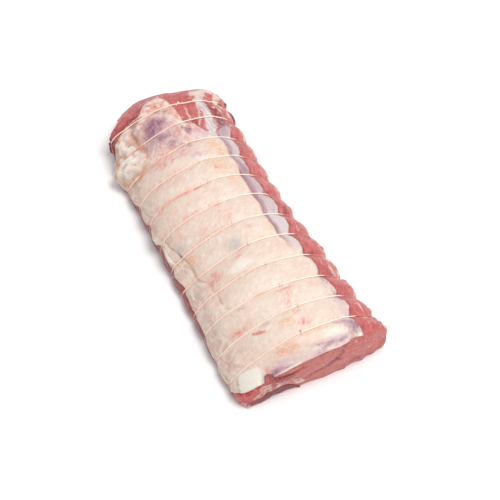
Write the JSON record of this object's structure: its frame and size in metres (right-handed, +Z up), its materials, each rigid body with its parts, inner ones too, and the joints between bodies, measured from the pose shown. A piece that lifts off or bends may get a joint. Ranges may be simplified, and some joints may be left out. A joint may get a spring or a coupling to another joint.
{
  "type": "tied boneless veal loin",
  "caption": "Raw boneless veal loin roast, tied at even steps with cotton twine, with a fat cap over the top and left side and a flat cut face at the near end.",
  "frame": {"origin": "on the surface the loin lies on, under the middle of its length and width", "axes": "+X across the loin to the side where the lean shows, +Y along it from the near cut face to the far end, +Z up"},
  "size_m": [0.1468, 0.3347, 0.055],
  "materials": {
    "lean": "moist raw lean, pink-red with fine grain",
    "fat": "cream and pale pink fat, waxy, with a silvery membrane",
    "flank": "moist dark red muscle",
    "twine": "twisted undyed cotton"
  },
  "bodies": {
    "root": {"lean_loin": "lean", "fat_cap": "fat", "flank_flap": "flank", "twine_01": "twine", "twine_02": "twine", "twine_03": "twine", "twine_04": "twine", "twine_05": "twine", "twine_06": "twine", "twine_07": "twine", "twine_08": "twine", "twine_09": "twine", "twine_10": "twine", "twine_11": "twine", "twine_12": "twine"}
  },
  "joints": []
}
